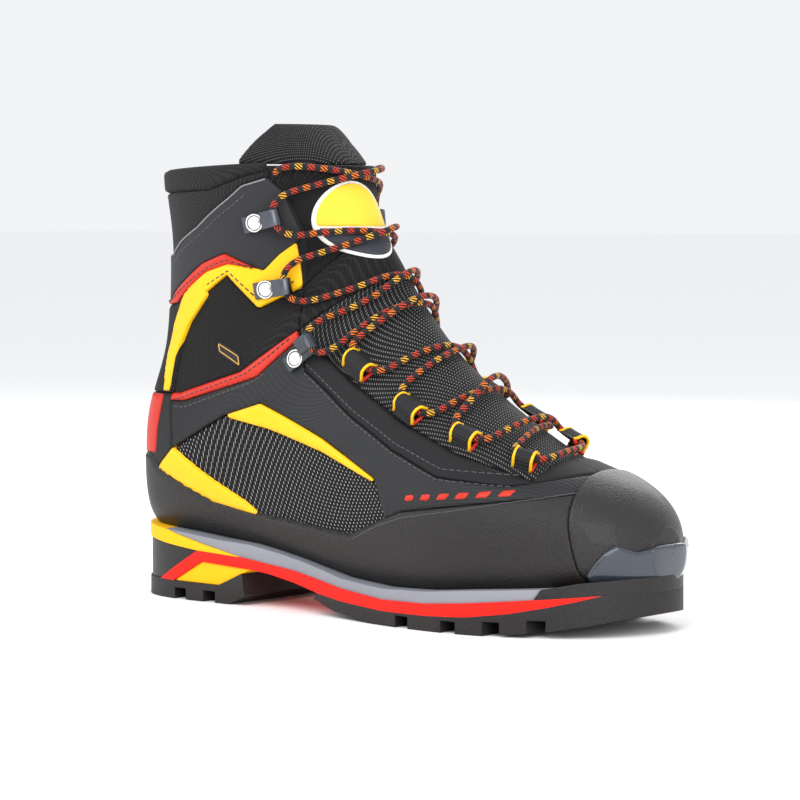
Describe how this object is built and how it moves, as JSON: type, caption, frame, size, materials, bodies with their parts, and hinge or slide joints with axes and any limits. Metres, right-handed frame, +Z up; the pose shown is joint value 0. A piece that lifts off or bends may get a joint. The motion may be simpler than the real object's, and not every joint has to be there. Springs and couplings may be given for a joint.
{
  "type": "mountaineering boot",
  "caption": "High-cuff mountaineering boot for the right foot, with stiff crampon sole, rubber rand, speed-lace hooks and a cuff that flexes at the ankle.",
  "frame": {"origin": "on the ground under the middle of the boot's bounding box", "axes": "+X from heel to toe, +Y to the inner (medial) side, +Z up"},
  "size_m": [0.3023, 0.1065, 0.234],
  "materials": {
    "lining_mesh": "matt waterproof lining laminate",
    "rand_rubber": "lightly grained moulded rubber",
    "clear_guard": "glossy clear film over the rubber",
    "yellow_trim": "welded film, satin",
    "red_trim": "welded film with one stitch line",
    "dotted_textile": "black weave with silver dots",
    "black_coated_textile": "coated, slightly grained",
    "black_softshell": "brushed stretch weave",
    "charcoal_textile": "ribbed weave",
    "black_twill": "twill",
    "knit_rim": "fine knitted edge",
    "woven_tag": null,
    "red_midsole": "matt moulded foam",
    "grey_midsole": "matt moulded foam",
    "yellow_foam": "matt moulded foam",
    "black_rubber": "matt tread rubber",
    "board": "pressed fibre board",
    "carbon": "carbon laminate",
    "footbed_felt": "felt-topped foam",
    "dark_metal": "dark nickel",
    "bright_metal": "polished",
    "lace_textile": "braided, black with red and yellow flecks",
    "clear_plastic_tip": "wrapped film",
    "black_webbing": "ribbed webbing"
  },
  "bodies": {
    "foot": {"heel_lining": "lining_mesh", "vamp_lining": "lining_mesh", "ankle_lining": "lining_mesh", "toe_cap": "rand_rubber", "toe_guard": "clear_guard", "heel_strip": "black_coated_textile", "vamp_textile": "black_softshell", "achilles_strip": "black_softshell", "instep_gusset": "black_softshell", "membrane_tag": "woven_tag", "heel_ledge": "yellow_foam", "heel_block": "black_rubber", "heel_insert": "yellow_foam", "midsole_red": "red_midsole", "toe_welt": "rand_rubber", "midsole_grey": "grey_midsole", "lasting_board": "board", "shank": "carbon", "footbed": "footbed_felt", "outsole_forefoot": "black_rubber", "outsole_heel": "black_rubber", "locking_hooks": "dark_metal", "locking_hook_rivets": "bright_metal", "lace": "lace_textile", "rand_lateral": "rand_rubber", "rand_medial": "rand_rubber", "yellow_lower_blade_lateral": "yellow_trim", "yellow_lower_blade_medial": "yellow_trim", "window_textile_lateral": "dotted_textile", "window_textile_medial": "dotted_textile", "yellow_upper_blade_lateral": "yellow_trim", "yellow_upper_blade_medial": "yellow_trim", "quarter_lateral": "black_coated_textile", "quarter_medial": "black_coated_textile", "eyestay_lateral": "black_coated_textile", "eyestay_medial": "black_coated_textile", "ankle_piping_lateral": "red_trim", "ankle_piping_medial": "red_trim", "ankle_softshell_lateral": "black_softshell", "ankle_softshell_medial": "black_softshell", "lace_loops_lateral": "black_webbing", "lace_loops_medial": "black_webbing"},
    "shaft": {"cuff_lining": "lining_mesh", "cuff_trim_red": "red_trim", "collar_textile": "black_twill", "collar_rim": "knit_rim", "tongue": "black_softshell", "tongue_top": "knit_rim", "tongue_badge": "woven_tag", "cuff_hooks": "dark_metal", "cuff_hook_rivets": "bright_metal", "lace_tips": "clear_plastic_tip", "cuff_trim_yellow_lateral": "yellow_trim", "cuff_trim_yellow_medial": "yellow_trim", "cuff_panel_lateral": "charcoal_textile", "cuff_panel_medial": "charcoal_textile"}
  },
  "joints": [
    {"name": "ankle_flex", "type": "hinge", "parent": "foot", "child": "shaft", "pos_m": [-0.0708, 0.0015, 0.105], "axis": [0, 1, 0], "range_deg": [-8, 12], "stiffness_Nm_per_rad": 40, "deforming": ["ankle_lining", "ankle_softshell_lateral", "ankle_softshell_medial", "achilles_strip", "instep_gusset", "lace"]}
  ]
}
